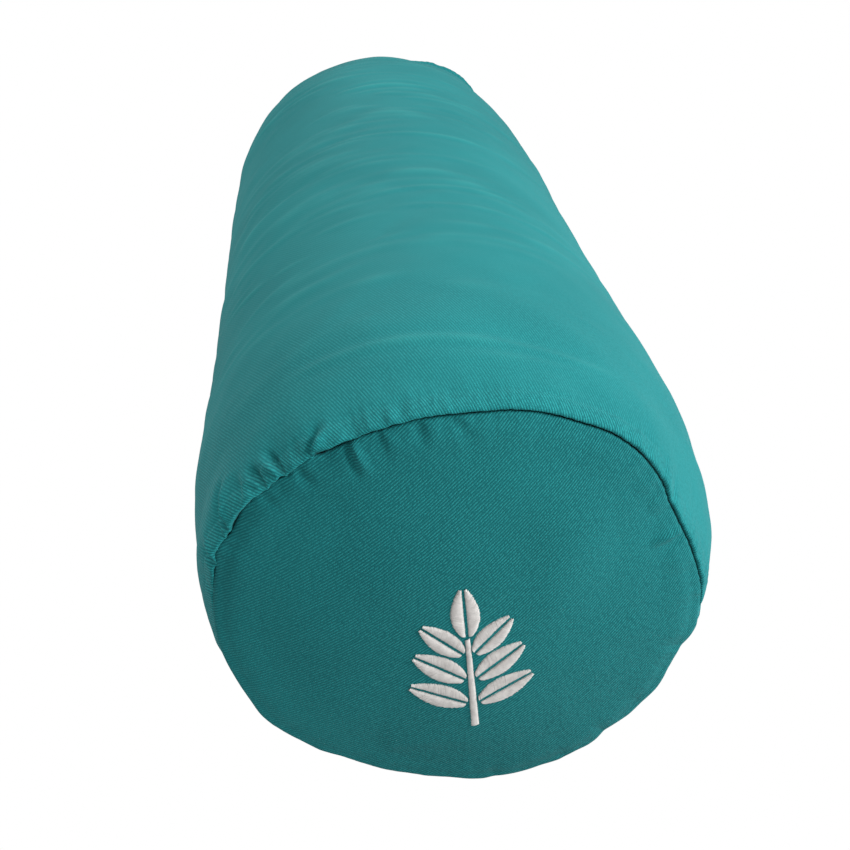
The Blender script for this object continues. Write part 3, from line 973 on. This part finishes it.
def build_emblem():
    rng = np.random.RandomState(7)
    b = Batch()

    def strand(u0, v0, u1, v1, crown, wid):
        q = np.linspace(0, 1, 8)
        length = math.hypot(u1 - u0, v1 - v0)
        bow = rng.normal(0, 0.05) * np.sin(q * math.pi)
        nu, nv = -(v1 - v0) / max(length, 1e-6), (u1 - u0) / max(length, 1e-6)
        u = u0 + (u1 - u0) * q + nu * bow
        v = v0 + (v1 - v0) * q + nv * bow
        h = -0.10 + (crown + 0.10) * np.sin(q * math.pi) ** 0.42 + rng.normal(0, 0.025)
        p = emb_point(u, v, h)
        rad = wid * (0.55 + 0.45 * np.sin(q * math.pi) ** 0.35)
        b.add(*tube(p, rad, sides=6, flat=0.8, up=(0.0, -1.0, 0.0)))

    def leaf(bx, bz, angle, length, width, gap):
        a = math.radians(angle)
        ux, uz = math.sin(a), math.cos(a)
        px, pz = uz, -ux
        n = int(length / 0.44)
        for s in (-1, 1):
            for k in range(n):
                f = 0.03 + 0.92 * (k + 0.5) / n
                f2 = min(0.985, f + 0.085 * math.sin(math.pi * min(1, f * 1.05)) ** 0.5)
                w = gap / 2 + (width / 2 - gap / 2) * math.sin(math.pi * f2 ** 0.86) ** 0.78
                if w - gap / 2 < 0.35:
                    continue
                g0 = gap / 2 + rng.normal(0, 0.05)
                w += rng.normal(0, 0.09)
                strand(bx + ux * f * length + px * s * g0, bz + uz * f * length + pz * s * g0,
                       bx + ux * f2 * length + px * s * w, bz + uz * f2 * length + pz * s * w, 0.52, 0.27)

    leaf(0.0, 11.0, 0.0, 23.0, 11.4, 1.15)
    for side in (-1, 1):
        leaf(side * 1.9, 3.0, side * 46.0, 22.4, 10.4, 1.1)
        leaf(side * 1.9, -9.5, side * 54.0, 25.0, 11.2, 1.1)
        leaf(side * 1.9, -22.0, side * 62.0, 26.2, 11.2, 1.1)
    n = int(45.0 / 0.43)
    for k in range(n):
        v = 10.2 - 44.6 * k / (n - 1)
        w = 0.95 + 0.65 * k / (n - 1)
        strand(-w + rng.normal(0, 0.06), v - 0.35, w + rng.normal(0, 0.06), v + 0.35, 0.5, 0.26)
    return b.build("front_emblem_stitches")


emblem = build_emblem()
emblem.data.materials.append(thread_mat("emblem_thread", (0.60, 0.575, 0.555), (0.74, 0.715, 0.69), rough=0.42, sheen=0.15))
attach(emblem, "bolster")
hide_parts("front_emblem")


# ------------------------------------------------------------------ zip: coils, stitches, handle
def zip_xyz(t, y, nrm):
    """Zip frame (t round the body, y along, nrm outwards, mm) to the row frame."""
    nx, nz = K * math.cos(ZPHI), math.sin(ZPHI)
    k = math.hypot(nx, nz)
    nx, nz = nx / k, nz / k
    ox, oz = R * math.cos(ZPHI), K * R * math.sin(ZPHI) + H
    t, y, nrm = np.broadcast_arrays(np.asarray(t, float), np.asarray(y, float), np.asarray(nrm, float))
    return np.stack([ox + nx * nrm + nz * t, y, oz + nz * nrm - nx * t], -1)


ZN = (K * math.cos(ZPHI) / math.hypot(K * math.cos(ZPHI), math.sin(ZPHI)), 0.0, math.sin(ZPHI) / math.hypot(K * math.cos(ZPHI), math.sin(ZPHI)))


def coil(side, y0, y1, pitch):
    """A nylon spiral: loops that lean and interlock with the other side's across the middle."""
    turns = int((y1 - y0) / pitch)
    k = np.arange(turns * 14 + 1)
    a = k / 14 * TAU
    y = y0 + k / 14 * pitch + (pitch / 2 if side > 0 else 0)
    t = side * (1.25 - 1.75 * np.cos(a)) * 1.0
    t = np.where(side * t < -0.25, side * (-0.25 + (side * t + 0.25) * 0.9), t)
    nrm = 0.02 + 0.62 * np.sin(a)
    y = y + 0.10 * np.sin(a)
    return tube(zip_xyz(t, y, nrm), 0.26, sides=6, up=(0.0, 1.0, 0.0))


for side, name in ((-1, "left"), (1, "right")):
    b = Batch()
    b.add(*coil(side, -215.0, 167.2, 1.5))
    o = b.build(f"zip_coil_{name}_spiral")
    o.data.materials.append(plastic_mat(f"coil_nylon_{name}", (0.010, 0.13, 0.135), (0.03, 0.24, 0.24), 0.36))
    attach(o, "bolster")
    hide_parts(f"zip_coil_{name}")


def stitches():
    rng = np.random.RandomState(19)
    b = Batch()
    for side in (-1, 1):
        y = -226.0
        while y < 186.5:
            q = np.linspace(0, 1, 7)
            yy = y + 2.7 * q
            h = -0.42 + 0.50 * np.sin(q * math.pi) ** 0.4
            t = side * 8.3 + rng.normal(0, 0.05) + 0.10 * (q - 0.5) * side
            b.add(*tube(zip_xyz(t, yy, h - 0.0016 * 8.3 ** 2), 0.24 * (0.7 + 0.3 * np.sin(q * math.pi) ** 0.4), sides=6, flat=0.85, up=ZN))
            y += 3.15
    return b.build("zip_topstitch_threads")


topstitch = stitches()
topstitch.data.materials.append(thread_mat("cover_thread", (0.010, 0.13, 0.135), (0.045, 0.29, 0.29), rough=0.5))
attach(topstitch, "bolster")
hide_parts("zip_topstitch")


def handle():
    """Webbing sewn flat on the rear panel at both ends and standing off it between."""
    surf = lambda x: SEAM_Y + DOME * max(0.0, 1 - (x / SEAM_R) ** 2) ** 0.8
    pts = [(-73.0, None), (-66, None), (-59, None), (-52, None), (-47.5, None)]
    path = [(x, surf(x) + 0.95) for x, _ in pts]
    path += [(-44.2, surf(44.2) + 1.35), (-41.2, surf(41.2) + 2.3), (-38.0, surf(38) + 4.4), (-31.0, surf(31) + 12.3), (-25.0, 344.6), (-18.0, 352.2), (-9.0, 357.4), (0.0, 359.0)]
    full = path + [(-x, y) for x, y in path[-2::-1]]
    f = np.array(full)
    d = np.r_[0, np.cumsum(np.hypot(*np.diff(f, axis=0).T))]
    m = 240
    s = np.linspace(0, d[-1], m)
    # smooth the polyline
    fx, fy = np.interp(s, d, f[:, 0]), np.interp(s, d, f[:, 1])
    for _ in range(60):
        fx[1:-1] = 0.25 * fx[:-2] + 0.5 * fx[1:-1] + 0.25 * fx[2:]
        fy[1:-1] = 0.25 * fy[:-2] + 0.5 * fy[1:-1] + 0.25 * fy[2:]
    on = np.abs(fx) > 47.0
    real = np.array([surf(abs(x)) + 0.95 for x in fx])
    fy = np.where(on, real, np.maximum(fy, real))
    tx, ty = np.gradient(fx), np.gradient(fy)
    k = np.hypot(tx, ty)
    nx, ny = -ty / k, tx / k
    sgn = np.sign(ny + 1e-9)
    flipn = np.where(np.abs(ny) > 1e-9, 1.0, 1.0)
    # cross-section: rounded flat strap 25 x 1.6 mm with raised ribs
    zc = np.r_[np.linspace(-12.5, 12.5, 66)]
    rib = 0.07 * np.cos(TAU * zc / 3.1)
    top = np.stack([zc, 0.8 - 0.22 * sstep(np.abs(zc), 11.6, 12.5) * 2 + rib], 1)
    bot = np.stack([zc[::-1], -0.8 + 0.22 * sstep(np.abs(zc[::-1]), 11.6, 12.5) * 2 - rib[::-1]], 1)
    sec = np.vstack([top, [[12.72, 0.1]], [[12.72, -0.1]], bot, [[-12.72, -0.1]], [[-12.72, 0.1]]])
    wob = 0.5 * np.sin(s / d[-1] * TAU * 1.5 + 0.6) * np.sin(s / d[-1] * math.pi) ** 2
    P = np.zeros((m, len(sec), 3))
    UV = np.zeros((m, len(sec), 2))
    dist = np.r_[0, np.cumsum(np.hypot(np.diff(fx), np.diff(fy)))]
    for i in range(m):
        off = sec[:, 1]
        zz = sec[:, 0] + wob[i]
        cup = 0.0
        x = fx[i] + nx[i] * off
        y = fy[i] + ny[i] * off
        if abs(fx[i]) > 40:          # the tab follows the panel's curve across its width too
            w = float(sstep(abs(fx[i]), 40, 48))
            yy = SEAM_Y + DOME * np.maximum(0, 1 - (fx[i] ** 2 + (zz / K) ** 2) / SEAM_R ** 2) ** 0.8
            y = y + w * (yy - surf(abs(fx[i])))
        P[i] = np.stack([x, y, H + zz], 1)
        UV[i] = np.stack([np.full(len(sec), dist[i]), zz], 1)
    v = P.reshape(-1, 3)
    ns = len(sec)
    q = grid_quads(m, ns, closed=True)
    c0, c1 = len(v), len(v) + 1
    v = np.vstack([v, P[0].mean(0), P[-1].mean(0)])
    tr = [(c0, k, (k + 1) % ns) for k in range(ns)][::1] + [(c1, (m - 1) * ns + (k + 1) % ns, (m - 1) * ns + k) for k in range(ns)]
    o = new_object("handle_webbing", v, q, np.array(tr))
    uv = np.vstack([UV.reshape(-1, 2), [[0, 0], [dist[-1], 0]]])
    set_uv(o, uv * 0.001)
    return o


web = handle()
web.data.materials.append(webbing_mat("webbing_weave"))
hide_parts("handle_loop", "handle_tabs")
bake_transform(web)


def tab_stitches():
    rng = np.random.RandomState(23)
    b = Batch()
    def face(x, z):
        return SEAM_Y + DOME * np.maximum(0, 1 - (x ** 2 + (z / K) ** 2) / SEAM_R ** 2) ** 0.8 + 0.95 + 0.84
    for side in (-1, 1):
        xc = side * 59.5
        corners = [(-10.3, -9.6), (10.3, -9.6), (10.3, 9.6), (-10.3, 9.6)]
        runs = [(corners[i], corners[(i + 1) % 4]) for i in range(4)] + [(corners[0], corners[2]), (corners[1], corners[3])]
        for (x0, z0), (x1, z1) in runs:
            ln = math.hypot(x1 - x0, z1 - z0)
            n = int(round(ln / 2.6))
            for k in range(n):
                q = (k + 0.08 + 0.84 * np.linspace(0, 1, 6)) / n
                x = xc + x0 + (x1 - x0) * q + rng.normal(0, 0.05)
                z = z0 + (z1 - z0) * q + rng.normal(0, 0.05)
                arch = np.sin(np.linspace(0, 1, 6) * math.pi)
                y = face(x, z) - 0.34 + 0.46 * arch ** 0.4
                b.add(*tube(np.stack([x, y, H + z], 1), 0.27, sides=6, flat=0.85, up=(0.0, 1.0, 0.0)))
    return b.build("handle_box_stitches")


box_st = tab_stitches()
box_st.data.materials.append(thread_mat("handle_thread", (0.02, 0.17, 0.175), (0.07, 0.36, 0.36), rough=0.5))
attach(box_st, "bolster")
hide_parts("handle_stitching")

# ------------------------------------------------------------------ finishes of the CAD nodes that stay
finishes = {
    "front_seam_thread": thread_mat("seam_thread_front", (0.010, 0.13, 0.135), (0.045, 0.29, 0.29)),
    "rear_seam_thread": None, "front_seam_overlock": None, "rear_seam_overlock": None,
    "emblem_backing": woven("backing_fleece", (0.62, 0.62, 0.60), (0.85, 0.85, 0.83), 700.0, 0.95, 0.3),
    "zip_tape_left": woven("zip_tape_weave", (0.008, 0.10, 0.105), (0.030, 0.24, 0.245), 1100.0, 0.8),
    "zip_tape_right": None,
    "zip_top_stops": metal_mat("zip_nickel", (0.60, 0.59, 0.56), 0.30),
    "zip_bottom_stop": None, "zip_slider": None, "zip_pull": None,
    "care_label": woven("label_ribbon", (0.72, 0.72, 0.70), (0.90, 0.90, 0.88), 1800.0, 0.5, 0.3),
    "inner_case_body": woven("case_cotton", (0.58, 0.53, 0.44), (0.78, 0.74, 0.65), 900.0, 0.9),
    "inner_case_front_end": None, "inner_case_rear_end": None, "inner_front_overlock": None, "inner_rear_overlock": None,
    "inner_zip_tapes": woven("case_tape", (0.66, 0.64, 0.58), (0.84, 0.82, 0.76), 1100.0, 0.85),
    "inner_zip_coils": plastic_mat("case_coil", (0.70, 0.68, 0.62), (0.86, 0.84, 0.79)),
    "inner_zip_stops": None, "inner_zip_slider": None,
    "hull_filling": hull_mat("hulls"),
}
last = None
for node, mat in finishes.items():
    if mat is None:
        mat = last
    last = mat
    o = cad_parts[node]
    if not o.material_slots:
        continue
    for sl in o.material_slots:
        sl.link = "OBJECT"
        sl.material = mat

# ------------------------------------------------------------------ stage, light, camera
def plane(name, size, z):
    o = new_object(name, [(-size, -size, z), (size, -size, z), (size, size, z), (-size, size, z)], [(0, 1, 2, 3)])
    return o


floor = plane("floor", 9000.0, -0.4)
n = Nodes("floor_paper")
vec, _, _, _ = n.obj()
floor.data.materials.append(n.finish(n.mix(n.noise(vec, 3.0, 3.0), (0.67, 0.67, 0.67), (0.70, 0.70, 0.70)), 0.9, spec=0.1))
# the studio sweep is lit separately, so the camera sees it pale and even
glow = n.nt.nodes.new("ShaderNodeEmission")
glow.inputs["Strength"].default_value = 1.0
glow.inputs["Color"].default_value = (1.0, 1.0, 1.0, 1)
path = n.nt.nodes.new("ShaderNodeLightPath")
both = n.nt.nodes.new("ShaderNodeMixShader")
n.nt.links.new(path.outputs["Is Camera Ray"], both.inputs[0])
n.nt.links.new(n.bsdf.outputs[0], both.inputs[1])
n.nt.links.new(glow.outputs[0], both.inputs[2])
# seen from underneath the floor is clear, so the pillow's belly can be looked at
clear = n.nt.nodes.new("ShaderNodeBsdfTransparent")
under = n.nt.nodes.new("ShaderNodeNewGeometry")
last_mix = n.nt.nodes.new("ShaderNodeMixShader")
n.nt.links.new(under.outputs["Backfacing"], last_mix.inputs[0])
n.nt.links.new(both.outputs[0], last_mix.inputs[1])
n.nt.links.new(clear.outputs[0], last_mix.inputs[2])
n.nt.links.new(last_mix.outputs[0], n.out.inputs[0])


def area(name, loc, target, size, power, color=(1, 1, 1)):
    li = bpy.data.lights.new(name, "AREA")
    li.shape = "DISK"
    li.size = size
    li.energy = power
    li.color = color
    o = bpy.data.objects.new(name, li)
    bpy.context.scene.collection.objects.link(o)
    loc, target = np.array(loc, float), np.array(target, float)
    back = (loc - target) / np.linalg.norm(loc - target)
    right = np.cross((0, 0, 1), back)
    right /= np.linalg.norm(right)
    up = np.cross(back, right)
    m = Matrix(((right[0], up[0], back[0], loc[0]), (right[1], up[1], back[1], loc[1]), (right[2], up[2], back[2], loc[2]), (0, 0, 0, 1)))
    o.matrix_world = m
    return o


area("key", (1.28, -0.76, 1.02), (0, 0.0, 0.1), 1.0, 32)
area("top", (-0.9, 1.0, 2.0), (0, 0.0, 0.1), 1.6, 29)
world = bpy.data.worlds.new("studio")
world.use_nodes = True
bg = world.node_tree.nodes["Background"]
bg.inputs[0].default_value = (1.0, 1.0, 1.0, 1)
wn = world.node_tree
lp = wn.nodes.new("ShaderNodeLightPath")
mr = wn.nodes.new("ShaderNodeMapRange")
wn.links.new(lp.outputs["Is Camera Ray"], mr.inputs[0])
mr.inputs[3].default_value = 0.435
mr.inputs[4].default_value = 1.0
wn.links.new(mr.outputs[0], bg.inputs[1])
bpy.context.scene.world = world
bpy.context.scene.view_settings.view_transform = "Standard"
bpy.context.scene.view_settings.look = "None"
bpy.context.scene.view_settings.exposure = 0.0

cam_data = bpy.data.cameras.new("camera")
cam_data.sensor_width = 36.0
cam_data.lens = 1323.4 / 850.0 * 36.0
cam_data.clip_start = 0.01
cam_data.clip_end = 50.0
cam = bpy.data.objects.new("camera", cam_data)
bpy.context.scene.collection.objects.link(cam)
yaw, pitch, roll = math.radians(4.833), math.radians(26.72), math.radians(-0.433)
fw = np.array([math.sin(yaw) * math.cos(pitch), math.cos(yaw) * math.cos(pitch), -math.sin(pitch)])
rt = np.array([math.cos(yaw), -math.sin(yaw), 0.0])
up = np.cross(rt, fw)
r2 = math.cos(roll) * rt + math.sin(roll) * up
u2 = -math.sin(roll) * rt + math.cos(roll) * up
loc = (-0.05266, -0.73898, 0.39385)
cam.matrix_world = Matrix(((r2[0], u2[0], -fw[0], loc[0]), (r2[1], u2[1], -fw[1], loc[1]), (r2[2], u2[2], -fw[2], loc[2]), (0, 0, 0, 1)))
bpy.context.scene.camera = cam
